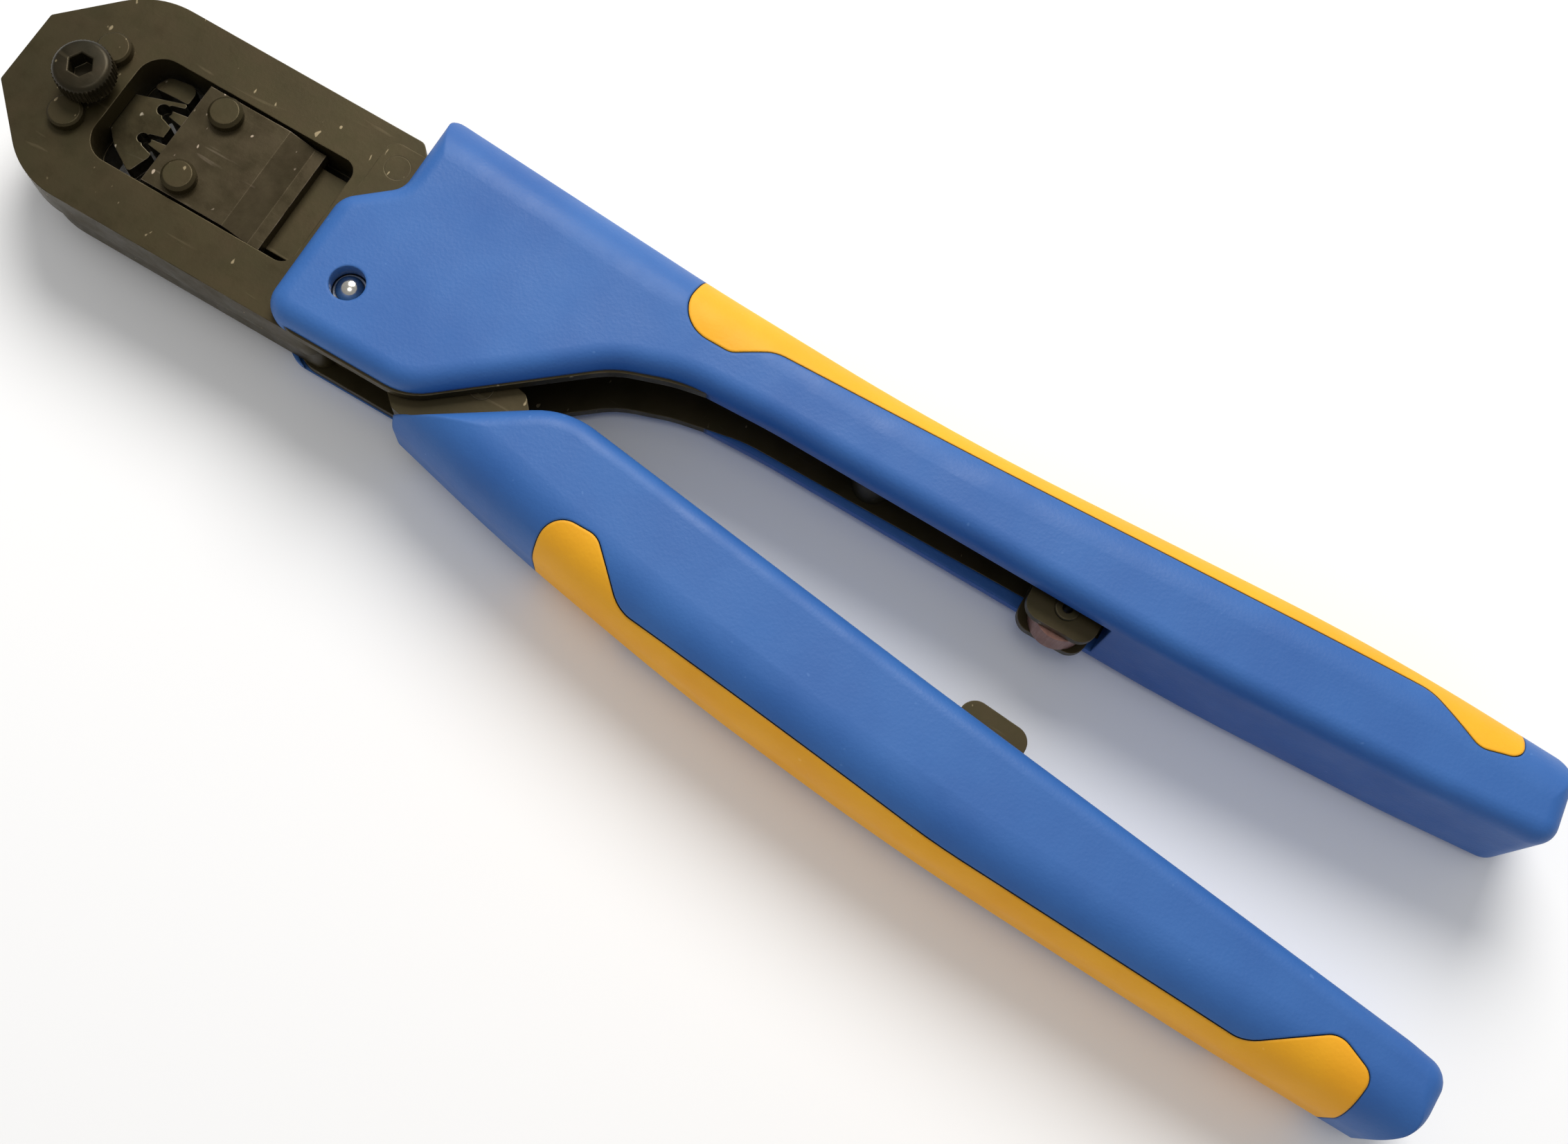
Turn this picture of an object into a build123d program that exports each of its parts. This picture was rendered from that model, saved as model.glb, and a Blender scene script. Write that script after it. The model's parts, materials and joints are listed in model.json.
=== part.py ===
"""Straight-action hand crimping tool for open-barrel terminals.

Millimetres. +X runs from the head's tip to the handle ends, +Y towards the fixed
handle and +Z towards the front face. The origin is on the handle pivot, at the
height of the surface that the tool lies on. The rest position is nearly closed.
"""
from math import cos, radians, sin
import os

from build123d import *

# ---- driving dimensions -------------------------------------------------------
THICKNESS = 20.0            # grips, front to back
MIDDLE = THICKNESS / 2
COVER_WALL = 2.5            # moulded skin over the side plates
SIDE_PLATE = 1.5
HEAD_PLATE = 5.8
HEAD_GAP = 0.4              # parting line between the two head plates
POCKET_DEPTH = 2.65         # milled into each head plate for the ram and the cam

HEAD_TIP = -56.2
HEAD_LOW, HEAD_HIGH = -8.5, 23.3
HEAD_CHAMFER = 10.3
REAR_INSET = 0.7            # the rear head plate is this much smaller all round
RAM_LINE = (HEAD_LOW + HEAD_HIGH) / 2     # the ram slides along X at this Y
WINDOW_TIP, WINDOW_REAR = -41.8, -9.4
WINDOW_LOW, WINDOW_HIGH = -1.0, 15.9

PIVOT_RADIUS = 2.5
RUNNING_FIT = 0.05          # radial clearance of everything that turns
SIDE_FIT = 0.3              # clearance between sliding or swinging faces

CAM_BASE_RADIUS = 7.4       # the ram moves by this much per radian of handle
CAM_REACH = 9.5             # pivot to ram face at rest
TOOTH_RADIUS = 15.0
TOOTH_DEPTH = 0.8
TOOTH_PITCH = 4.5           # degrees

CHEEK_LOW = -8.8            # lower edge of the front side plate; the rear one ends 0.5 higher
DIE_FACE = -35.1            # front of the fixed crimpers
ANVIL_FACE = -33.95         # front of the moving anvils' shoulders
WIRE_SIZES = ((10.3, 0.85), (5.45, 0.75))  # (Y, barrel radius) of the two nests
ROLLER_AT = (100.4, 12.0)
ROLLER_RADIUS = 4.0
STOP_PIN_RADIUS = 1.2

# ---- heights that follow from them ---------------------------------------------
REAR_SIDE = (COVER_WALL, COVER_WALL + SIDE_PLATE)
FRONT_SIDE = (THICKNESS - REAR_SIDE[1], THICKNESS - REAR_SIDE[0])
REAR_HEAD = (MIDDLE - HEAD_GAP / 2 - HEAD_PLATE, MIDDLE - HEAD_GAP / 2)
FRONT_HEAD = (MIDDLE + HEAD_GAP / 2, MIDDLE + HEAD_GAP / 2 + HEAD_PLATE)
POCKET = (REAR_HEAD[1] - POCKET_DEPTH, FRONT_HEAD[0] + POCKET_DEPTH)
CORE = (POCKET[0] + 0.15, POCKET[1] - 0.15)   # cam plate and ram tongue
ARM = (REAR_SIDE[1] + SIDE_FIT, FRONT_SIDE[0] - SIDE_FIT)   # moving channel

# ---- places on the plan ---------------------------------------------------------
FRAME_RIVETS = (((-4.4, 17.8), 1.75), ((-5.0, -5.8), 1.5))
LOCATOR_PINS = ((-45.8, 12.9), (-45.8, 2.0))
LOCATOR_SCREW = (-45.8, RAM_LINE)
RAM_RIVETS = ((-28.1, 12.8), (-28.1, 2.1))
ANVIL_PIN = (-28.1, RAM_LINE)
PAWL_PIVOT = (14.7, 16.3)
SPRING_POST = (27.0, 16.0)
CAM_POST = (6.8, 9.5)
TAIL_RIVETS = ((36.0, 17.0), (70.0, 17.0), (140.0, 17.5))
BRACKET_RIVET = (103.0, 17.3)
CAM_RIVETS = ((15.0, -5.0), (21.0, -2.0), (24.0, -9.0))
GRIP_PIN = (140.0, -20.0)

parts = {}


# ---- helpers ---------------------------------------------------------------------
def plate(outline, heights):
    """A plan outline made solid between two heights."""
    return extrude(Pos(0, 0, heights[0]) * outline, heights[1] - heights[0])


def post(place, radius, heights):
    """An upright round bar."""
    return plate(Pos(*place) * Circle(radius), heights)


def rounded(points, radii):
    """A closed plan outline with its corners rounded."""
    return make_face(FilletPolyline(*points, radius=radii, close=True))


def joined(solids):
    """Several solids kept side by side in one node."""
    return Compound(children=list(solids))


def rivet(place, radius, heights, head_radius, head_height):
    """A shank with a low turned head at both ends."""
    low, high = heights
    head = chamfered_disc(place, head_radius, high, head_height)
    return post(place, radius, heights) + head + mirror(head, Plane.XY.offset((low + high) / 2))


def chamfered_disc(place, radius, base, height):
    disc = post(place, radius, (base, base + height))
    return chamfer(disc.edges().group_by(Axis.Z)[-1], height * 0.3)


# ---- head -------------------------------------------------------------------------
def head_outline(inset):
    """Octagonal nose, straight sides, and a round lug at the pivot."""
    tip, low, high, rail_end = HEAD_TIP + inset, HEAD_LOW + inset, HEAD_HIGH - inset, -1.0
    body = rounded(
        [
            (tip, low + HEAD_CHAMFER), (tip, high - HEAD_CHAMFER), (tip + HEAD_CHAMFER, high), (-3.9, high),
            (0.5, 18.0), (0.5, 11.0), (2.5, 4.0), (rail_end, -4.0), (rail_end, low),
            (tip + HEAD_CHAMFER, low),
        ],
        [0.6, 0.6, 12.3, 1.2, 2.0, 3.0, 0.5, 0.5, 1.8, 12.3],
    )
    window = rounded(
        [
            (WINDOW_TIP, WINDOW_LOW),
            (WINDOW_TIP, WINDOW_HIGH),
            (WINDOW_REAR, WINDOW_HIGH),
            (WINDOW_REAR, WINDOW_LOW),
        ],
        [3.7, 3.7, 2.0, 2.0],
    )
    return body + Circle(PIVOT_RADIUS + 3.7) - window


def head_pockets():
    """What is milled away between the plates: ram way, cam well and crimper seat."""
    ram_way = Pos((WINDOW_REAR - 1) / 2, RAM_LINE) * Rectangle(11.6, 15.4)
    cam_well = Circle(TOOTH_RADIUS + 0.6) & Pos(9, 9) * Rectangle(20, 20)
    arm_way = Circle(PIVOT_RADIUS + 4.0) & Pos(5, 0) * Rectangle(10, 16)
    seat = Pos(-45.4, RAM_LINE) * Rectangle(9.4, 6.0)
    return plate(ram_way + cam_well + arm_way + Circle(5.6) + seat, POCKET)


def head_plate(heights, inset=0.0):
    solid = plate(head_outline(inset), heights) - head_pockets()
    solid -= post((0, 0), PIVOT_RADIUS, heights)
    solid -= post(LOCATOR_SCREW, 2.0, heights)
    for place in LOCATOR_PINS:
        solid -= post(place, 2.35, heights)
    for place, radius in FRAME_RIVETS:
        solid -= post(place, radius, heights)
    return solid


def side_outline(low=CHEEK_LOW):
    """One side plate: a deep cheek over the head that runs back as a narrow tail."""
    high, front, tail_end = 21.0, -7.3, 150.0
    return rounded(
        [
            (front, low), (front, high), (18.0, high), (32.0, 19.2), (tail_end, 19.8),
            (tail_end, 14.2), (52.0, 13.0), (42.0, 10.9), (34.7, 8.35), (low + 22.7, low),
        ],
        [4.5, 1.7, 12.0, 12.0, 1.5, 1.5, 20.0, 20.0, 14.0, 9.0],
    )


def side_plate(heights, low=CHEEK_LOW):
    solid = plate(side_outline(low), heights)
    solid -= post((0, 0), PIVOT_RADIUS, heights)
    for place, radius in FRAME_RIVETS:
        solid -= post(place, radius, heights)
    solid -= post(PAWL_PIVOT, 1.5, heights)
    solid -= post(SPRING_POST, 1.2, heights)
    for place in (*TAIL_RIVETS, BRACKET_RIVET):
        solid -= post(place, 1.5, heights)
    return solid


def crimper_outline():
    """Fixed crimper: a shank in the head, two nests that open towards the ram."""
    body = rounded(
        [
            (-50.0, RAM_LINE - 2.9), (-50.0, RAM_LINE + 2.9), (WINDOW_TIP, RAM_LINE + 2.9),
            (DIE_FACE, 12.65), (DIE_FACE, 3.4), (-36.2, 0.3), (-40.0, 2.6), (WINDOW_TIP, RAM_LINE - 2.9),
        ],
        [0.4, 0.4, 0.3, 0.3, 0.5, 0.5, 0.8, 0.3],
    )
    for y, barrel in WIRE_SIZES:
        throat = DIE_FACE - 1.75
        body -= Pos(throat - barrel * 0.7, y) * Circle(barrel)
        body -= make_face(Polyline(
            (DIE_FACE, y + barrel * 1.95), (throat, y + barrel * 1.3), (throat - 0.4, y + barrel * 0.75),
            (throat - 0.4, y - barrel * 0.75), (throat, y - barrel * 1.3), (DIE_FACE, y - barrel * 1.95),
            close=True,
        ))
    return body - Pos(*LOCATOR_SCREW) * Circle(2.0)


def crimper_pad_outline():
    """Keeper that wedges the crimpers against the upper side of the window."""
    return rounded(
        [(-40.6, 12.4), (-39.4, 14.8), (-35.1, 15.5), (-35.1, 12.65), (-37.0, 12.6)],
        [0.5, 1.4, 1.2, 0.3, 0.2],
    )


def anvil_outline():
    """Moving anvil: two tapered teeth on a shoulder, and a root held in the ram."""
    body = rounded(
        [
            (ANVIL_FACE, 3.0), (ANVIL_FACE, 12.3), (-31.5, 12.3), (-31.5, RAM_LINE + 3.2),
            (-25.4, RAM_LINE + 3.2), (-25.4, RAM_LINE - 3.2), (-31.5, RAM_LINE - 3.2), (-31.5, 3.0),
        ],
        [0.5, 0.5, 0.2, 0.05, 0.4, 0.4, 0.05, 0.2],
    )
    for y, barrel in WIRE_SIZES:
        tip = DIE_FACE - 1.15
        body += make_face(Polyline(
            (ANVIL_FACE + 0.2, y + barrel), (tip, y + barrel * 0.55),
            (tip, y - barrel * 0.55), (ANVIL_FACE + 0.2, y - barrel),
            close=True,
        ))
        body -= Pos(tip - barrel * 0.35, y) * Circle(barrel * 0.5)
    return body - Pos(*ANVIL_PIN) * Circle(1.0)


# ---- ram ---------------------------------------------------------------------------
RAM_PLATE = 1.8
RAM_TAIL = -CAM_REACH - 0.15
RAM_TOP = FRONT_HEAD[1] - RAM_PLATE
RAM_BEND = (-20.2, -16.6)


def across_ram(profile, low, high):
    """An X-Z profile made solid between two Y values."""
    return extrude(Plane.XZ.offset(-high) * profile, high - low)


def ram_solid():
    outline = [
        (-31.5, RAM_TOP), (RAM_BEND[0], RAM_TOP), (RAM_BEND[1], CORE[1]), (RAM_TAIL, CORE[1]),
        (RAM_TAIL, CORE[0]), (RAM_BEND[1], CORE[0]),
        (RAM_BEND[0], THICKNESS - RAM_TOP), (-31.5, THICKNESS - RAM_TOP),
    ]
    profile = make_face(Polyline(*outline, close=True))
    block = across_ram(profile, WINDOW_LOW + SIDE_FIT, WINDOW_HIGH - SIDE_FIT)
    for low, high in ((-2.0, 0.6), (14.2, 17.0)):
        block -= Box(8.0, high - low, 8.0, align=(Align.MIN, Align.MIN, Align.CENTER)).moved(
            Location((-15.5, low, MIDDLE))
        )
    slot = Pos(-28.0, RAM_LINE) * Rectangle(7.2, 6.4)
    block -= plate(slot, CORE)
    for place in RAM_RIVETS:
        block -= post(place, 1.4, (0, THICKNESS))
    return block - post(ANVIL_PIN, 1.0, (0, THICKNESS))


def ram_cover_plate():
    """Sheet cover of the ram, bent down at its rear so that it clears the frame."""
    top = FRONT_HEAD[1]
    low = CORE[1]
    profile = make_face(Polyline(
        (-32.35, top), (RAM_BEND[0] + 0.4, top),
        (RAM_BEND[1] + 0.4, low + RAM_PLATE), (-14.5, low + RAM_PLATE),
        (-14.5, low), (RAM_BEND[1], low), (RAM_BEND[0], RAM_TOP), (-32.35, RAM_TOP),
        close=True,
    ))
    cover = across_ram(profile, -0.6, 15.4)
    for place in RAM_RIVETS:
        cover -= post(place, 1.4, (0, THICKNESS))
    return cover


def flipped(solid):
    """The same piece on the other face of the tool."""
    return mirror(solid, Plane.XY.offset(MIDDLE))


# ---- moving handle steel ------------------------------------------------------------
def involute(roll):
    """A point of the cam: the string of length base x roll, unwound from the base circle."""
    start = radians(90) + CAM_REACH / CAM_BASE_RADIUS
    angle = start - roll
    length = CAM_BASE_RADIUS * roll
    return (
        CAM_BASE_RADIUS * cos(angle) - length * sin(angle),
        CAM_BASE_RADIUS * sin(angle) + length * cos(angle),
    )


def polar(radius, degrees):
    return (radius * cos(radians(degrees)), radius * sin(radians(degrees)))


def cam_outline():
    """Involute nose for the ram, toothed sector for the pawl, and an arm in the handle."""
    first_roll, last_roll = 0.70, 1.50
    steps = 6
    nose = Spline(*[involute(first_roll + (last_roll - first_roll) * i / steps) for i in range(steps + 1)])
    back = Polyline(nose @ 1, (-5.5, 11.6), (1.0, 10.5), (5.0, 0.0), (-2.0, -3.0), nose @ 0)
    lobe = make_face([nose, back])
    sector = make_face(Polyline(
        (0, 0), polar(TOOTH_RADIUS + 3, 44), polar(TOOTH_RADIUS + 6, 66), polar(TOOTH_RADIUS + 3, 88),
        close=True,
    )) & Circle(TOOTH_RADIUS)
    arm = rounded(
        [
            (0.0, 5.0), (14.0, 2.5), (24.6, 0.6), (27.0, -2.5),
            (26.0, -9.4), (16.4, -8.0), (11.0, -6.2), (2.0, -4.9),
        ],
        [0.5, 2.0, 1.5, 1.0, 1.0, 1.0, 1.0, 0.5],
    )
    outline = lobe + sector + arm + Circle(5.3)
    first, count = 46.0, 9
    for i in range(count):
        crest = first + TOOTH_PITCH * i
        outline -= make_face(Polyline(
            polar(TOOTH_RADIUS + 0.3, crest),
            polar(TOOTH_RADIUS - TOOTH_DEPTH, crest + 0.4),
            polar(TOOTH_RADIUS + 0.3, crest + TOOTH_PITCH * 0.85),
            close=True,
        ))
    return outline


def cam_plate():
    outline = cam_outline() - Circle(3.6) - Pos(*CAM_POST) * Circle(1.2)
    for place in CAM_RIVETS:
        outline -= Pos(*place) * Circle(1.6)
    return plate(outline, CORE)


def channel_outline():
    """Plan of the moving handle's folded steel."""
    outline = rounded(
        [
            (12.6, -10.2), (35.5, -14.2), (90.0, -21.2), (150.0, -24.0), (150.0, -17.2), (90.0, -9.9),
            (52.0, -5.0), (29.0, -2.8), (26.4, 0.2), (20.0, 1.4), (5.0, 1.8), (5.0, -3.0),
        ],
        [0.8, 60.0, 200.0, 1.5, 1.5, 200.0, 60.0, 2.0, 1.5, 2.0, 0.5, 0.5],
    )
    return outline - Circle(6.9)


def channel_hollow():
    """Space between the channel's two walls, open towards the fixed handle."""
    return rounded(
        [
            (16.4, -8.4), (35.5, -11.7), (90.0, -18.7), (152.0, -21.5), (152.0, 6.0), (0.0, 6.0),
            (0.0, -6.6), (11.4, -6.6),
        ],
        [1.0, 60.0, 200.0, 0.5, 0.5, 0.5, 0.5, 1.0],
    )


def moving_channel():
    solid = plate(channel_outline(), ARM) - plate(channel_hollow(), CORE)
    for place in CAM_RIVETS:
        solid -= post(place, 1.6, ARM)
    return solid - post(GRIP_PIN, 1.5, ARM)


def stop_tab():
    outline = rounded([(94.8, -16.5), (94.8, -3.9), (104.5, -4.7), (104.5, -16.5)], [0.5, 2.2, 2.2, 0.5])
    return plate(outline, CORE)


def pawl():
    """Ratchet pawl; its tip rides just clear of the tooth crests."""
    tip = polar(TOOTH_RADIUS + 0.15, 62)
    outline = make_face(Polyline(
        tip, (10.5, 13.4), (14.7, 13.9), (17.0, 16.3), (15.5, 18.6), (11.0, 17.4), close=True
    )) + Pos(*PAWL_PIVOT) * Circle(2.8)
    return plate(outline - Pos(*PAWL_PIVOT) * Circle(1.5 + RUNNING_FIT), (CORE[0] + 0.3, CORE[1] - 0.3))


# ---- grips ----------------------------------------------------------------------------
INNER_RADIUS = 2.8          # rims towards the other handle, the hub and the tail
PALM_RADIUS = 7.5           # rims towards the palm
SKIN = 1.4                  # how deep the soft inserts are let into the grips
GROOVE = 0.15               # parting groove round each insert

# Plan corners and their radii. Each palm line runs on past both ends of its grip.
FIXED_PALM = (
    [(-40.0, 31.6), (40.0, 26.4), (76.0, 25.1), (138.0, 28.4), (210.0, 25.1)],
    [400.0, 400.0, 300.0],
)
MOVING_PALM = (
    [(0.0, -8.7), (33.0, -16.6), (64.0, -21.9), (97.0, -25.3), (140.0, -27.0), (210.0, -28.1)],
    [300.0, 350.0, 450.0, 600.0],
)
FIXED_PLAN = (
    [
        (-8.2, -8.5), (13.9, -8.5), (34.5, 8.6), (43.0, 11.7), (56.0, 12.2), (118.0, 11.5), (150.0, 13.0),
        (166.9, 14.4), (165.4, 28.4), (-2.0, 29.6), (-2.0, 15.6), (-8.2, 10.2),
    ],
    [3.6, 9.0, 14.0, 20.0, 100.0, 300.0, 150.0, 3.0, 7.6, 3.2, 3.0, 4.0],
)
MOVING_PLAN = (
    [
        (13.5, -11.0), (16.0, -10.2), (32.4, 0.8), (90.0, -6.7), (161.0, -15.2), (167.0, -16.3),
        (166.6, -28.0), (13.5, -28.0),
    ],
    [2.0, 12.0, 300.0, 20.0, 3.2, 6.5],
)


def rims(solid):
    """The edges of a flat body's two faces."""
    return solid.edges().filter_by(lambda edge: abs(edge.tangent_at(0.5).Z) < 0.5)


def palm_body(palm, skin=0.0):
    """A slab with a well rounded palm side; with a skin, the core that the skin leaves."""
    points, radii = palm
    side = 1 if points[0][1] > 0 else -1
    far = [(points[-1][0], -60.0 * side), (points[0][0], -60.0 * side)]
    line = FilletPolyline(*((x, y - side * skin) for x, y in points), radius=radii)
    outline = make_face([*line.edges(), *Polyline(line @ 1, *far, line @ 0).edges()])
    slab = plate(outline, (skin, THICKNESS - skin))
    along = rims(slab).filter_by(lambda edge: abs(edge.tangent_at(0.5).X) > 0.5)
    return fillet(along.filter_by(lambda edge: edge.center().Y * side > -1.0), PALM_RADIUS - skin)


def fixed_body():
    """Outer shape of the fixed grip with the deep hub that covers the mechanism."""
    block = plate(rounded(*FIXED_PLAN), (0, THICKNESS))
    return fillet(rims(block), INNER_RADIUS) & palm_body(FIXED_PALM)


def moving_body():
    """Outer shape of the moving grip, which ends in a blunt nose beside the hub."""
    points, radii = MOVING_PLAN
    line = FilletPolyline(*points, radius=radii)
    block = plate(make_face([*line.edges(), Line(line @ 1, line @ 0)]), (0, THICKNESS))
    long_rims = rims(block).filter_by(lambda edge: edge.center().X > 13.6)
    return fillet(long_rims, INNER_RADIUS) & palm_body(MOVING_PALM)


# Plan corners of each soft insert and their radii; both run out past the palm side.
FIXED_BORDER = (
    [
        (38.1, 40.0), (38.1, 17.4), (46.6, 17.4), (51.6, 20.6), (145.0, 24.9), (153.0, 20.9),
        (158.6, 22.6), (158.4, 40.0),
    ],
    [0.5, 5.0, 2.5, 5.0, 6.0, 3.0, 2.5, 0.5],
)
MOVING_BORDER = (
    [
        (38.0, -40.0), (38.0, -12.1), (44.9, -12.1), (51.5, -18.3), (100.0, -23.6), (143.6, -25.4),
        (152.6, -19.1), (158.4, -21.6), (158.4, -40.0),
    ],
    [0.5, 3.6, 3.0, 6.0, 120.0, 5.0, 3.0, 2.5, 0.5],
)


def grip_insert(body, palm, border):
    """Soft insert: the grip's own surface, a skin deep, inside a plan border."""
    region = offset(rounded(*border), amount=-GROOVE)
    return (body & plate(region, (-1, THICKNESS + 1))) - palm_body(palm, SKIN)


def with_recess(body, palm, border):
    """A grip with its insert's recess let in, down to the core."""
    return body - (plate(rounded(*border), (-1, THICKNESS + 1)) - palm_body(palm, SKIN))


def fixed_grip():
    solid = with_recess(fixed_body(), FIXED_PALM, FIXED_BORDER)
    for heights in (REAR_SIDE, FRONT_SIDE):
        solid -= plate(side_outline(), heights)
    gap = (REAR_SIDE[1], FRONT_SIDE[0])
    gallery = rounded([(-12, -14), (-12, 22.5), (106.5, 22.5), (106.5, 5.0), (60, -14)], [1, 1, 2, 1, 1])
    solid -= plate(gallery, gap)
    solid -= plate(rounded([(-12, 12), (-12, 26), (24, 26), (30, 12)], [1, 1, 3, 1]), gap)
    for place in TAIL_RIVETS:
        solid -= post(place, 3.0, gap)
    head_way = Pos(-15, 8) * Rectangle(15.4, 60)
    solid -= plate(head_way, (REAR_HEAD[0] - 0.05, FRONT_HEAD[1] + 0.05))
    return solid - post((0, 0), 2.4, (FRONT_SIDE[1], THICKNESS + 1))


def moving_grip():
    solid = with_recess(moving_body(), MOVING_PALM, MOVING_BORDER)
    solid -= plate(channel_outline(), ARM)
    solid -= plate(channel_hollow() & channel_outline(), ARM)
    solid -= stop_tab()
    solid -= plate(Pos(14, -2) * Rectangle(26, 17.5), ARM)
    return solid - post(GRIP_PIN, 1.5, ARM)


# ---- small pieces -----------------------------------------------------------------------
def locator_screw():
    collar_top = FRONT_HEAD[1] + 1.6
    head = post(LOCATOR_SCREW, 4.0, (collar_top, FRONT_HEAD[1] + 5.0))
    head = chamfer(head.edges().group_by(Axis.Z)[-1], 0.5)
    head += post(LOCATOR_SCREW, 2.9, (FRONT_HEAD[1], collar_top))
    socket = Pos(*LOCATOR_SCREW) * RegularPolygon(1.5, 6, major_radius=False)
    head -= plate(socket, (FRONT_HEAD[1] + 2.2, FRONT_HEAD[1] + 6))
    return head + post(LOCATOR_SCREW, 2.0, (REAR_HEAD[0] + 0.3, FRONT_HEAD[1]))


def locator_pin(place):
    pin = post(place, 2.35, (REAR_HEAD[0], FRONT_HEAD[1] + 1.4))
    return chamfer(pin.edges().group_by(Axis.Z)[-1], 0.3)


def pivot_pin():
    low, high = REAR_SIDE[0], FRONT_SIDE[1]
    pin = post((0, 0), PIVOT_RADIUS, (low, high)) + post((0, 0), 1.65, (high, high + 0.9))
    return chamfer(pin.edges().group_by(Axis.Z)[-1], 0.5)


def bracket_outline():
    return rounded([(95.2, 8.7), (105.3, 8.7), (105.3, 20.8), (95.2, 20.8)], [2.4, 2.4, 0.3, 0.3])


def stop_bracket():
    low, high, sheet = 6.0, 14.0, 1.4
    solid = plate(bracket_outline(), (low, high))
    solid -= plate(Pos(100.2, 13.4) * Rectangle(20.0, 12.0), (low + sheet, high - sheet))
    solid -= post(ROLLER_AT, STOP_PIN_RADIUS, (0, THICKNESS))
    return solid - post(BRACKET_RIVET, 1.5, (0, THICKNESS))


def stop_pin():
    """Tubular rivet that carries the roller."""
    return rivet(ROLLER_AT, STOP_PIN_RADIUS, (6.0, 14.0), 1.7, 0.5) - post(ROLLER_AT, 0.75, (5.0, 15.0))


def stop_roller():
    bore = post(ROLLER_AT, STOP_PIN_RADIUS + RUNNING_FIT, (7, 13))
    return post(ROLLER_AT, ROLLER_RADIUS, (7.6, 12.4)) - bore


def return_spring():
    """Extension spring between the cam plate and the frame, in the gap beside the cam."""
    radius, height = 1.2, 14.35
    start = Vector(*CAM_POST, height)
    reach = Vector(*SPRING_POST, height) - start
    along = reach.normalized()
    ends = Plane(origin=start + along * 1.3, z_dir=along)
    return extrude(ends * Circle(radius), reach.length - 2.6)


def pawl_spring():
    """Torsion spring round the pawl's pin, with one leg along the pawl."""
    low, high = CORE[1] + 0.2, CORE[1] + 2.6
    leg = Pos(PAWL_PIVOT[0] - 3.2, PAWL_PIVOT[1] + 2.05) * Rectangle(6.4, 0.8)
    coil = post(PAWL_PIVOT, 2.45, (low, high)) + plate(leg, (low, low + 0.8))
    return coil - post(PAWL_PIVOT, 1.5, (low, high))


def spacer(place, radius, heights):
    return post(place, radius, heights) - post(place, 1.5, heights)


def side_pin(place, radius):
    return post(place, radius, (REAR_SIDE[0], FRONT_SIDE[1]))


# ---- the assembly ---------------------------------------------------------------------------
def build():
    between = (REAR_SIDE[1], FRONT_SIDE[0])
    wire_layer = (CORE[0] + 0.1, MIDDLE - 0.05)
    insulation_layer = (MIDDLE + 0.05, CORE[1] - 0.1)

    parts["front_head_plate"] = head_plate(FRONT_HEAD)
    parts["rear_head_plate"] = head_plate(REAR_HEAD, REAR_INSET)
    parts["front_side_plate"] = side_plate(FRONT_SIDE)
    parts["rear_side_plate"] = side_plate(REAR_SIDE, CHEEK_LOW + 0.5)
    parts["frame_rivets"] = joined(side_pin(place, radius) for place, radius in FRAME_RIVETS)
    parts["pivot_pin"] = pivot_pin()
    parts["locator_pins"] = joined(locator_pin(place) for place in LOCATOR_PINS)
    parts["locator_screw"] = locator_screw()
    parts["wire_crimper"] = plate(crimper_outline(), wire_layer)
    parts["insulation_crimper"] = plate(crimper_outline(), insulation_layer)
    parts["crimper_pad"] = plate(crimper_pad_outline(), (wire_layer[0], insulation_layer[1]))
    parts["tail_spacers"] = joined(spacer(place, 3.0, between) for place in TAIL_RIVETS)
    parts["tail_rivets"] = joined(side_pin(place, 1.5) for place in (*TAIL_RIVETS, BRACKET_RIVET))
    parts["pawl_pin"] = side_pin(PAWL_PIVOT, 1.5)
    parts["spring_post"] = side_pin(SPRING_POST, 1.2)
    parts["return_spring"] = return_spring()
    parts["pawl_spring"] = pawl_spring()
    parts["stop_bracket"] = stop_bracket()
    parts["stop_pin"] = stop_pin()
    parts["bracket_washers"] = joined(
        spacer(BRACKET_RIVET, 2.4, heights) for heights in ((between[0], 6.0), (14.0, between[1]))
    )
    parts["stop_roller"] = stop_roller()

    parts["ram"] = ram_solid()
    parts["front_ram_cover"] = ram_cover_plate()
    parts["rear_ram_cover"] = flipped(ram_cover_plate())
    parts["ram_rivets"] = joined(
        rivet(place, 1.4, (REAR_HEAD[0], FRONT_HEAD[1]), 2.33, 1.5) for place in RAM_RIVETS
    )
    parts["wire_anvil"] = plate(anvil_outline(), wire_layer)
    parts["insulation_anvil"] = plate(anvil_outline(), insulation_layer)
    parts["anvil_pin"] = post(ANVIL_PIN, 1.0, (THICKNESS - RAM_TOP, RAM_TOP))

    parts["cam_plate"] = cam_plate()
    parts["pivot_bushing"] = post((0, 0), 3.6, CORE) - post((0, 0), PIVOT_RADIUS + RUNNING_FIT, CORE)
    parts["moving_channel"] = moving_channel()
    parts["cam_rivets"] = joined(post(place, 1.6, ARM) for place in CAM_RIVETS)
    parts["cam_spring_post"] = post(CAM_POST, 1.2, (CORE[0], FRONT_SIDE[0] - SIDE_FIT))
    parts["stop_tab"] = stop_tab()
    parts["pawl"] = pawl()

    parts["fixed_grip"] = fixed_grip()
    parts["fixed_grip_insert"] = grip_insert(fixed_body(), FIXED_PALM, FIXED_BORDER)
    parts["moving_grip"] = moving_grip()
    parts["moving_grip_insert"] = grip_insert(moving_body(), MOVING_PALM, MOVING_BORDER)
    parts["moving_grip_pin"] = post(GRIP_PIN, 1.5, ARM)


build()
os.makedirs("parts", exist_ok=True)
for name, shape in parts.items():
    export_step(shape, f"parts/{name}.step")
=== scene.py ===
"""Looks of the hand crimping tool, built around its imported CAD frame. Metres."""
import json
from math import cos, pi, radians, sin

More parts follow.
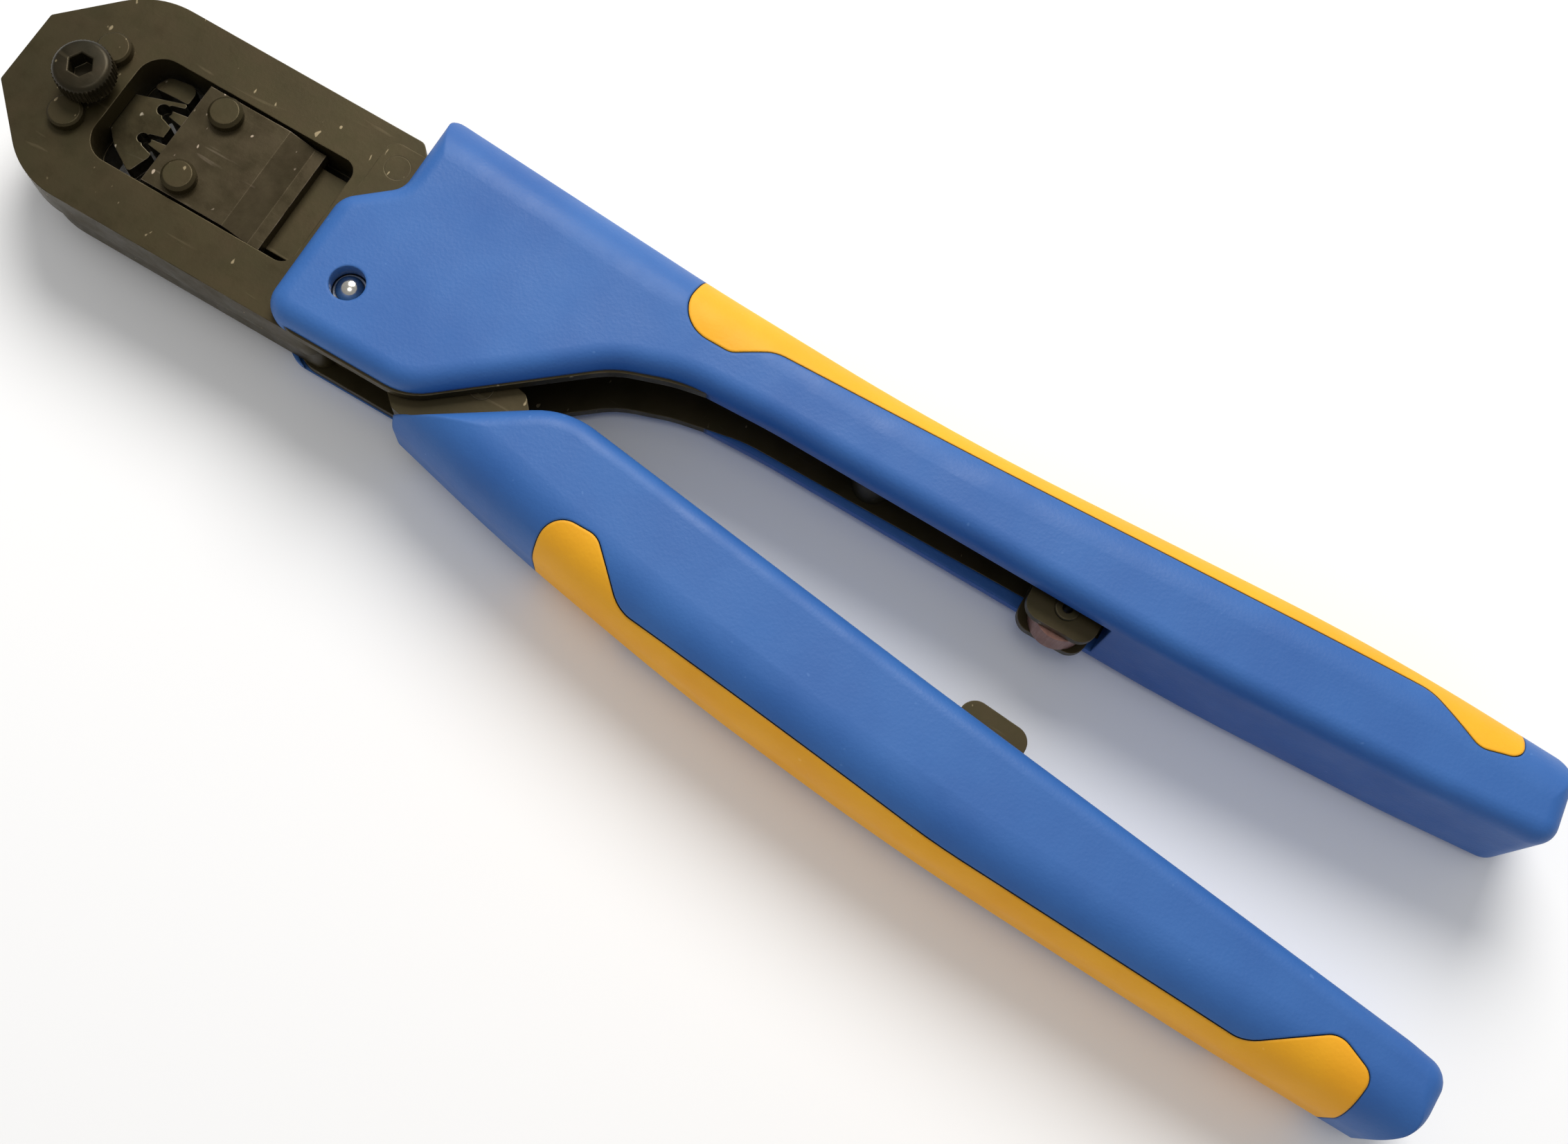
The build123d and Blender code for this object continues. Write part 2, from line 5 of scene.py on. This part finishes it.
import bmesh
import bpy
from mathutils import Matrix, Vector


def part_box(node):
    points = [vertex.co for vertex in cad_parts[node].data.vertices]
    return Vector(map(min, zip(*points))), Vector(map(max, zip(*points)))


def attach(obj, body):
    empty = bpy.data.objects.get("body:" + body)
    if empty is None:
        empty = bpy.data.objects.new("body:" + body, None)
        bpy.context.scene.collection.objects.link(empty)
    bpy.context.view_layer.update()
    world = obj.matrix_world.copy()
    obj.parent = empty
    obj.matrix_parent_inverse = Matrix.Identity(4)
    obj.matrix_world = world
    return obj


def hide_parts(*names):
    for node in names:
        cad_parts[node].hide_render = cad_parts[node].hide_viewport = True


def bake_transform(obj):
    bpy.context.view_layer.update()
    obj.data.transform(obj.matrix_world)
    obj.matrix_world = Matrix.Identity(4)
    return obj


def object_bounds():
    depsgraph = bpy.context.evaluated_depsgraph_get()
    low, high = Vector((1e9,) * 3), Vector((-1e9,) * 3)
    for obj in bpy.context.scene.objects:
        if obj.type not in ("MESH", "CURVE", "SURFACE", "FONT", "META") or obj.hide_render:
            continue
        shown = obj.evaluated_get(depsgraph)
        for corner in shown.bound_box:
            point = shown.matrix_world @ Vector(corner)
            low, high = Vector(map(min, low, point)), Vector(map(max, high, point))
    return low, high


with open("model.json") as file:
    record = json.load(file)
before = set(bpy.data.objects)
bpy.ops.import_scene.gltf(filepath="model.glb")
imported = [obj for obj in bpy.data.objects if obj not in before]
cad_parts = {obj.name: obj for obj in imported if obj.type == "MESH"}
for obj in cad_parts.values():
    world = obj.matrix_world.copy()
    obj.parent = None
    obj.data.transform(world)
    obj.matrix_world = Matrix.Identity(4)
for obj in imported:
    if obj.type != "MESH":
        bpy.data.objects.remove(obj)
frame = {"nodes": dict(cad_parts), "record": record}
CAD_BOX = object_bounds()

MM = 0.001
UP = Vector((0, 0, 1))

# Locator screw
KNURLS = 44             # ridges round the head
KNURL_DEPTH = 0.022     # half of a ridge's height, as a share of the head's radius
SCREW_SHANK = 1.9 * MM
SCREW_COLLAR = 2.9 * MM
COLLAR_HEIGHT = 1.6 * MM
SOCKET = 1.5 * MM       # centre to flat
SOCKET_DEPTH = 2.5 * MM

# Pivot pin
PIN_BALL = 1.95 * MM
PIN_NOSE = 0.9 * MM     # CAD height of the nose above the side plate

# Springs; wire sizes are radii
RETURN_WIRE = 0.22 * MM
RETURN_COIL = 1.15 * MM
RETURN_TURNS = 26
RETURN_HOOK = 2.9 * MM  # post centre to first coil
HOOK_OPENING = 35       # degrees
PAWL_WIRE = 0.26 * MM
PAWL_TURNS = 4

# Studio
FLOOR_SIZE = 3.0
WORLD_STRENGTH = 0.40
AIM = (0.06, 0.0, 0.01)
CAMERA_PLACE = (0.0847, -0.0638, 0.2446)
CAMERA_TURN = (15.01, -3.73, 30.06)     # degrees
LENS = 42.93
SENSOR = 36.0


# ---- node helpers -----------------------------------------------------------------
class Surface:
    """A node material under construction, with the object's own coordinates as its base."""

    def __init__(self, name):
        self.material = bpy.data.materials.new(name)
        self.material.use_nodes = True
        self.tree = self.material.node_tree
        self.shader = self.tree.nodes["Principled BSDF"]
        self.place = self.tree.nodes.new("ShaderNodeTexCoord").outputs["Object"]

    def link(self, source, target):
        self.tree.links.new(source, target)

    def set(self, **values):
        for name, value in values.items():
            self.shader.inputs[name.replace("_", " ")].default_value = value

    def stretched(self, scale):
        mapping = self.tree.nodes.new("ShaderNodeMapping")
        mapping.inputs["Scale"].default_value = scale
        self.link(self.place, mapping.inputs["Vector"])
        return mapping.outputs["Vector"]

    def noise(self, scale, detail=3.0, roughness=0.55, vector=None, distortion=0.0):
        texture = self.tree.nodes.new("ShaderNodeTexNoise")
        texture.inputs["Scale"].default_value = scale
        texture.inputs["Detail"].default_value = detail
        texture.inputs["Roughness"].default_value = roughness
        texture.inputs["Distortion"].default_value = distortion
        self.link(vector or self.place, texture.inputs["Vector"])
        return texture.outputs["Fac"]

    def cells(self, scale, vector=None):
        texture = self.tree.nodes.new("ShaderNodeTexVoronoi")
        texture.inputs["Scale"].default_value = scale
        self.link(vector or self.place, texture.inputs["Vector"])
        return texture.outputs["Distance"]

    def ramp(self, value, low, high, out_low=0.0, out_high=1.0):
        node = self.tree.nodes.new("ShaderNodeMapRange")
        for name, number in zip(("From Min", "From Max", "To Min", "To Max"), (low, high, out_low, out_high)):
            node.inputs[name].default_value = number
        self.link(value, node.inputs["Value"])
        return node.outputs["Result"]

    def math(self, operation, first, second):
        node = self.tree.nodes.new("ShaderNodeMath")
        node.operation = operation
        for socket, value in zip(node.inputs, (first, second)):
            if isinstance(value, (int, float)):
                socket.default_value = value
            else:
                self.link(value, socket)
        return node.outputs["Value"]

    def mix(self, factor, first, second):
        node = self.tree.nodes.new("ShaderNodeMix")
        node.data_type = "RGBA"
        sockets = (node.inputs["Factor"], node.inputs[6], node.inputs[7])
        for socket, value in zip(sockets, (factor, first, second)):
            if isinstance(value, (int, float)):
                socket.default_value = value
            elif isinstance(value, tuple):
                socket.default_value = (*value, 1.0)
            else:
                self.link(value, socket)
        return node.outputs[2]

    def edges(self, radius):
        """Where the surface turns sharply: 0 on flats, towards 1 on edges."""
        bevel = self.tree.nodes.new("ShaderNodeBevel")
        bevel.samples = 6
        bevel.inputs["Radius"].default_value = radius
        plain = self.tree.nodes.new("ShaderNodeNewGeometry")
        dot = self.tree.nodes.new("ShaderNodeVectorMath")
        dot.operation = "DOT_PRODUCT"
        self.link(bevel.outputs["Normal"], dot.inputs[0])
        self.link(plain.outputs["Normal"], dot.inputs[1])
        return self.ramp(dot.outputs["Value"], 0.995, 0.80), bevel.outputs["Normal"]

    def bump(self, height, distance, strength=1.0, normal=None):
        node = self.tree.nodes.new("ShaderNodeBump")
        node.inputs["Distance"].default_value = distance
        node.inputs["Strength"].default_value = strength
        self.link(height, node.inputs["Height"])
        if normal is not None:
            self.link(normal, node.inputs["Normal"])
        return node.outputs["Normal"]

    def finish(self, color, roughness, normal):
        self.link(color, self.shader.inputs["Base Color"])
        self.link(roughness, self.shader.inputs["Roughness"])
        self.link(normal, self.shader.inputs["Normal"])
        return self.material


# ---- materials --------------------------------------------------------------------
def moulded_plastic(name, color, dark, rubbed, roughness):
    """Matte moulded handle: spark-eroded grain, soft mottling, dust and rubbed edges."""
    surface = Surface(name)
    edge_mask, rounded_normal = surface.edges(0.5 * MM)
    mottle = surface.ramp(surface.noise(60.0, 4.0), 0.35, 0.68)
    grain = surface.noise(2600.0, 2.0, 0.6)
    pits = surface.cells(1900.0)
    tint = surface.mix(mottle, color, dark)
    tint = surface.mix(surface.ramp(grain, 0.30, 0.72, 0.0, 0.22), tint, dark)
    edge_patches = surface.math("MULTIPLY", edge_mask, surface.ramp(surface.noise(220.0, 3.0), 0.40, 0.75))
    tint = surface.mix(surface.math("MULTIPLY", edge_patches, 0.35), tint, rubbed)
    dust = surface.ramp(surface.noise(900.0, 1.0, 0.4), 0.785, 0.82, 0.0, 0.35)
    tint = surface.mix(dust, tint, rubbed)
    gloss = surface.ramp(surface.noise(140.0, 3.0), 0.3, 0.7, roughness - 0.06, roughness + 0.07)
    height = surface.math("ADD", grain, surface.math("MULTIPLY", pits, 0.6))
    normal = surface.bump(height, 0.035 * MM, 0.55, rounded_normal)
    surface.set(Specular_IOR_Level=0.36)
    return surface.finish(tint, gloss, normal)


def blackened_steel(name, color, brown, bare_and_highlight, roughness, metallic=0.6):
    """Black-oxide steel: brown mottling, pale specks, fine scratches, and bright edges that are partly worn
    bare steel and partly a painted edge highlight.
    """
    surface = Surface(name)
    edge_mask, rounded_normal = surface.edges(0.18 * MM)
    mottle = surface.ramp(surface.noise(240.0, 5.0, 0.62), 0.34, 0.70)
    blotch = surface.ramp(surface.noise(46.0, 3.0), 0.42, 0.62)
    scratch = surface.noise(900.0, 2.0, 0.5, surface.stretched((0.10, 1.0, 1.0)), 0.4)
    hairline = surface.ramp(scratch, 0.685, 0.74)
    speck = surface.ramp(surface.noise(1100.0, 1.0, 0.4, surface.stretched((1.0, 0.5, 1.0))), 0.755, 0.79)
    tint = surface.mix(surface.math("MULTIPLY", mottle, 0.6), color, brown)
    tint = surface.mix(surface.math("MULTIPLY", blotch, 0.45), tint, tuple(0.62 * part for part in color))
    tint = surface.mix(surface.math("MULTIPLY", hairline, 0.08), tint, bare_and_highlight)
    tint = surface.mix(surface.math("MULTIPLY", speck, 0.75), tint, bare_and_highlight)
    # bright edges: worn bare steel, and also a painted edge highlight
    edge_patches = surface.math("MULTIPLY", edge_mask, surface.ramp(surface.noise(420.0, 4.0), 0.34, 0.66))
    tint = surface.mix(surface.math("MULTIPLY", edge_patches, 0.65), tint, bare_and_highlight)
    gloss = surface.ramp(surface.noise(310.0, 4.0), 0.3, 0.7, roughness - 0.08, roughness + 0.10)
    height = surface.math("ADD", surface.noise(1500.0, 3.0, 0.6), surface.math("MULTIPLY", scratch, 0.5))
    normal = surface.bump(height, 0.02 * MM, 0.5, rounded_normal)
    surface.set(Metallic=metallic, Specular_IOR_Level=0.35)
    return surface.finish(tint, gloss, normal)


def ground_steel(name, color, dark, roughness, grain=(0.06, 1.0, 1.0)):
    """Bare steel or bronze with a grinding or turning lay, darker stains, and a painted highlight along its
    edges.
    """
    surface = Surface(name)
    edge_mask, rounded_normal = surface.edges(0.15 * MM)
    lay = surface.noise(2400.0, 3.0, 0.6, surface.stretched(grain))
    stain = surface.ramp(surface.noise(260.0, 4.0), 0.42, 0.72)
    tint = surface.mix(surface.math("MULTIPLY", stain, 0.55), color, dark)
    tint = surface.mix(surface.ramp(lay, 0.3, 0.7, 0.0, 0.22), tint, dark)
    # painted highlight: edges lightened to half again the steel's colour
    bright = tuple(min(1.0, 1.5 * part) for part in color)
    tint = surface.mix(surface.math("MULTIPLY", edge_mask, 0.35), tint, bright)
    gloss = surface.ramp(lay, 0.3, 0.7, roughness - 0.07, roughness + 0.09)
    normal = surface.bump(lay, 0.012 * MM, 0.5, rounded_normal)
    surface.set(Metallic=1.0)
    return surface.finish(tint, gloss, normal)


def studio_floor(name):
    """Pale matte floor with hardly any pattern."""
    surface = Surface(name)
    shade = surface.ramp(surface.noise(3.0, 2.0), 0.3, 0.7, 0.0, 0.5)
    tint = surface.mix(shade, (0.96, 0.96, 0.96), (0.94, 0.94, 0.945))
    gloss = surface.ramp(surface.noise(20.0, 2.0), 0.3, 0.7, 0.85, 0.95)
    surface.set(Specular_IOR_Level=0.1)
    return surface.finish(tint, gloss, surface.bump(surface.noise(900.0, 2.0), 0.01 * MM, 0.2))


# oxide colours: base, brown mottling, and bare steel, whose use on edges also paints a highlight
OXIDE = ((0.046, 0.036, 0.013), (0.058, 0.039, 0.017), (0.34, 0.27, 0.16))
MATERIALS = {
    "black_steel": blackened_steel("black_steel_oxide", *OXIDE, 0.44),
    "die_steel": blackened_steel(
        "die_steel_oxide", (0.060, 0.050, 0.024), (0.085, 0.060, 0.030), (0.55, 0.48, 0.36), 0.32, 0.8
    ),
    "bright_steel": ground_steel("bright_steel_polished", (0.80, 0.78, 0.72), (0.36, 0.32, 0.26), 0.16),
    "spring_steel": ground_steel("spring_steel_drawn", (0.42, 0.40, 0.36), (0.18, 0.15, 0.11), 0.30),
    "bronze": ground_steel("bronze_sintered", (0.36, 0.20, 0.16), (0.20, 0.10, 0.08), 0.46, (1.0, 1.0, 0.1)),
    "blue_plastic": moulded_plastic(
        "blue_plastic_moulded", (0.036, 0.138, 0.41), (0.026, 0.110, 0.36), (0.11, 0.24, 0.54), 0.50
    ),
    "orange_rubber": moulded_plastic(
        "orange_rubber_soft", (0.93, 0.45, 0.012), (0.86, 0.38, 0.008), (1.0, 0.58, 0.12), 0.60
    ),
}
SCREW_BLACK = blackened_steel(
    "screw_black_oxide", (0.022, 0.018, 0.008), (0.042, 0.029, 0.014), (0.30, 0.24, 0.14), 0.38
)
COVER_BLACK = blackened_steel(
    "cover_oxide_rolled", (0.050, 0.038, 0.017), (0.060, 0.043, 0.022), (0.60, 0.48, 0.36), 0.33, 0.65
)
SLOTS = {entry["node"]: entry["material_slot"] for entry in frame["record"]["subparts"]}
BODIES = {
    node: body for body, nodes in frame["record"]["behaviour"]["bodies"].items() for node in nodes
}


def paint_nodes():
    """Every CAD node gets the material of its slot, and the rolled ram covers their own oxide."""
    for name, piece in frame["nodes"].items():
        piece.data.materials.clear()
        piece.data.materials.append(COVER_BLACK if "ram_cover" in name else MATERIALS[SLOTS[name]])


# ---- meshes -------------------------------------------------------------------------
def middle(node):
    """Centre of a node's box in plan, at height zero."""
    low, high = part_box(node)
    return Vector(((low.x + high.x) / 2, (low.y + high.y) / 2, 0))


def radius_of(node):
    """Half of a round node's width along X."""
    low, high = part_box(node)
    return (high.x - low.x) / 2


def add_piece(name, vertices, faces, material, sharp=35):
    """A mesh object; its edges stay crisp above the sharp angle, in degrees."""
    mesh = bpy.data.meshes.new(name)
    mesh.from_pydata([tuple(point) for point in vertices], [], faces)
    mesh.materials.append(material)
    for polygon in mesh.polygons:
        polygon.use_smooth = True
    mesh.set_sharp_from_angle(angle=radians(sharp))
    mesh.validate()
    piece = bpy.data.objects.new(name, mesh)
    bpy.context.collection.objects.link(piece)
    return piece


def stands_for(piece, node):
    """The piece takes the CAD node's place in the picture: the node is hidden."""
    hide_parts(node)
    return piece


def plain(angle):
    """Outline of a round ring. An outline is a factor on the radius at an angle."""
    return 1.0


def hexagon(angle):
    """Outline of a hexagon whose radius is measured to its flats."""
    return 1.0 / cos(angle % (pi / 3) - pi / 6)


def knurled(angle):
    """Outline with straight ridges."""
    return 1.0 - KNURL_DEPTH * (1 + cos(KNURLS * angle))


def turned(rings, centre, steps):
    """Closed solid through rings of (radius, height, outline), from bottom to top along its skin."""
    vertices = [centre + Vector((0, 0, rings[0][1]))]
    for radius, height, outline in rings:
        for step in range(steps):
            angle = 2 * pi * step / steps
            reach = radius * outline(angle)
            vertices.append(centre + Vector((reach * cos(angle), reach * sin(angle), height)))
    vertices.append(centre + Vector((0, 0, rings[-1][1])))
    last = len(vertices) - 1
    faces = []
    for step in range(steps):
        after = (step + 1) % steps
        faces.append((0, 1 + after, 1 + step))
        for ring in range(len(rings) - 1):
            base = 1 + ring * steps
            faces.append((base + step, base + after, base + steps + after, base + steps + step))
        faces.append((last, last - steps + step, last - steps + after))
    return vertices, faces


def tube(points, radius, sides=8):
    """A round wire along points, with closed ends."""
    vertices, faces = [], []
    normal = (points[1] - points[0]).orthogonal().normalized()
    for index, point in enumerate(points):
        before = points[max(index - 1, 0)]
        after = points[min(index + 1, len(points) - 1)]
        along = (after - before).normalized()
        normal = (normal - normal.dot(along) * along).normalized()
        binormal = along.cross(normal)
        for side in range(sides):
            angle = 2 * pi * side / sides
            vertices.append(point + radius * (cos(angle) * normal + sin(angle) * binormal))
    for index in range(len(points) - 1):
        base = index * sides
        for side in range(sides):
            after = (side + 1) % sides
            faces.append((base + side, base + after, base + sides + after, base + sides + side))
    faces.append(tuple(reversed(range(sides))))
    faces.append(tuple(range(len(vertices) - sides, len(vertices))))
    return vertices, faces


# ---- pieces in place of plain CAD solids --------------------------------------------
def add_locator_screw():
    """Knurled socket-head screw that carries the terminal locator."""
    low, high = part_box("locator_screw")
    centre = middle("locator_screw")
    head = radius_of("locator_screw")
    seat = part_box("front_head_plate")[1].z
    collar = seat + COLLAR_HEIGHT
    rings = [
        (SCREW_SHANK, low.z, plain), (SCREW_SHANK, seat, plain),
        (SCREW_COLLAR, seat, plain), (SCREW_COLLAR, collar, plain),
        (head - 0.35 * MM, collar, plain), (head, collar + 0.3 * MM, knurled),
        (head, high.z - 0.65 * MM, knurled), (head - 0.18 * MM, high.z - 0.45 * MM, plain),
        (head - 0.30 * MM, high.z - 0.28 * MM, plain), (head - 0.62 * MM, high.z - 0.05 * MM, plain),
        (head - 0.85 * MM, high.z, plain), (SOCKET + 0.15 * MM, high.z, hexagon),
        (SOCKET, high.z - 0.12 * MM, hexagon), (SOCKET, high.z - SOCKET_DEPTH, hexagon),
    ]
    piece = add_piece("locator_screw_knurled", *turned(rings, centre, 4 * KNURLS), SCREW_BLACK, 28)
    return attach(stands_for(piece, "locator_screw"), BODIES["locator_screw"])


def add_pivot_pin():
    """Pivot pin with the ball-nosed end that shows in the hub's hole."""
    low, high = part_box("pivot_pin")
    shank = radius_of("pivot_pin")
    neck = high.z - PIN_NOSE
    rings = [(shank - 0.2 * MM, low.z, plain), (shank, low.z + 0.2 * MM, plain)]
    rings += [(shank, neck - 0.25 * MM, plain), (shank - 0.25 * MM, neck, plain)]
    rings.append((PIN_BALL, neck, plain))
    for tilt in range(8, 89, 8):
        reach, rise = PIN_BALL * cos(radians(tilt)), 0.9 * PIN_BALL * sin(radians(tilt))
        rings.append((reach, neck + rise, plain))
    vertices, faces = turned(rings, middle("pivot_pin"), 64)
    piece = add_piece("pivot_pin_domed", vertices, faces, MATERIALS["bright_steel"])
    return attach(stands_for(piece, "pivot_pin"), BODIES["pivot_pin"])


def coil(start, along, length, radius, turns, side, steps=18):
    """Points of a helix that starts at start + side and runs along a unit vector."""
    across = side.cross(along)
    count = int(turns * steps)
    return [
        start + along * (length * step / count)
        + radius * (cos(2 * pi * step / steps) * side + sin(2 * pi * step / steps) * -across)
        for step in range(count + 1)
    ]


def hook(post, along, radius, side):
    """Points of an open loop round a post."""
    across = side.cross(along)
    return [
        post + radius * (cos(radians(turn)) * along + sin(radians(turn)) * across)
        for turn in range(HOOK_OPENING, 360 - HOOK_OPENING, 18)
    ]


def add_return_spring():
    """Extension spring: close coils, with a hook round the cam's post and the frame's post."""
    low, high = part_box("return_spring")
    level = Vector((0, 0, (low.z + high.z) / 2))
    start, end = middle("cam_spring_post") + level, middle("spring_post") + level
    along = (end - start).normalized()
    first = start + RETURN_HOOK * along
    length = (end - start).length - 2 * RETURN_HOOK
    body = coil(first, along, length, RETURN_COIL - RETURN_WIRE, RETURN_TURNS, UP)
    near = radius_of("cam_spring_post") + RETURN_WIRE
    far = radius_of("spring_post") + RETURN_WIRE
    points = list(reversed(hook(start, along, near, UP))) + body
    points += hook(end, -along, far, UP)
    wire = tube(points, RETURN_WIRE)
    piece = add_piece("return_spring_coils", *wire, MATERIALS["spring_steel"], 60)
    stands_for(piece, "return_spring")
    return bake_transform(piece)


def add_pawl_spring():
    """Torsion spring: four coils round the pawl's pin, and a leg that presses on the pawl."""
    low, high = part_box("pawl_spring")
    radius = high.x - middle("pawl_pin").x - PAWL_WIRE
    centre = middle("pawl_pin") + (low.z + PAWL_WIRE) * UP
    height = high.z - low.z - 2 * PAWL_WIRE
    turns = coil(centre, UP, height, radius, PAWL_TURNS, Vector((0, 1, 0)))
    leg = Vector((low.x - turns[0].x + 0.3 * MM, 0, 0))
    points = [turns[0] + leg * part / 4 for part in range(4, 0, -1)] + turns
    wire = tube(points, PAWL_WIRE)
    piece = add_piece("pawl_spring_coils", *wire, MATERIALS["spring_steel"], 60)
    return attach(stands_for(piece, "pawl_spring"), BODIES["pawl_spring"])


# ---- studio -----------------------------------------------------------------------
def add_floor():
    low_z = CAD_BOX[0][2]
    mesh = bpy.data.meshes.new("studio_floor")
    shape = bmesh.new()
    bmesh.ops.create_grid(shape, x_segments=8, y_segments=8, size=FLOOR_SIZE)
    shape.to_mesh(mesh)
    shape.free()
    floor = bpy.data.objects.new("studio_floor", mesh)
    floor.location.z = low_z
    bpy.context.collection.objects.link(floor)
    mesh.materials.append(studio_floor("studio_floor_pale"))


def add_light(name, place, target, size, power, color=(1.0, 1.0, 1.0)):
    data = bpy.data.lights.new(name, "AREA")
    data.shape = "DISK"
    data.size = size
    data.energy = power
    data.color = color
    light = bpy.data.objects.new(name, data)
    light.location = place
    light.rotation_euler = (Vector(target) - Vector(place)).to_track_quat("-Z", "Y").to_euler()
    bpy.context.collection.objects.link(light)


def add_studio():
    world = bpy.data.worlds.new("studio_world")
    world.use_nodes = True
    background = world.node_tree.nodes["Background"]
    background.inputs["Color"].default_value = (1.0, 1.0, 1.0, 1.0)
    background.inputs["Strength"].default_value = WORLD_STRENGTH
    bpy.context.scene.world = world
    bpy.context.scene.view_settings.view_transform = "Standard"
    add_light("key_light", (-0.10, 0.52, 0.60), AIM, 0.50, 5.8, (1.0, 0.985, 0.96))
    add_light("top_light", (0.06, -0.05, 0.95), AIM, 0.45, 1.0)


def add_camera():
    data = bpy.data.cameras.new("camera")
    data.sensor_width = SENSOR
    data.lens = LENS
    data.clip_start = 0.005
    camera = bpy.data.objects.new("camera", data)
    camera.location = CAMERA_PLACE
    camera.rotation_euler = [radians(turn) for turn in CAMERA_TURN]
    bpy.context.collection.objects.link(camera)
    bpy.context.scene.camera = camera


# ---- assembly ---------------------------------------------------------------------
paint_nodes()
add_locator_screw()
add_pivot_pin()
add_return_spring()
add_pawl_spring()
add_floor()
add_studio()
add_camera()
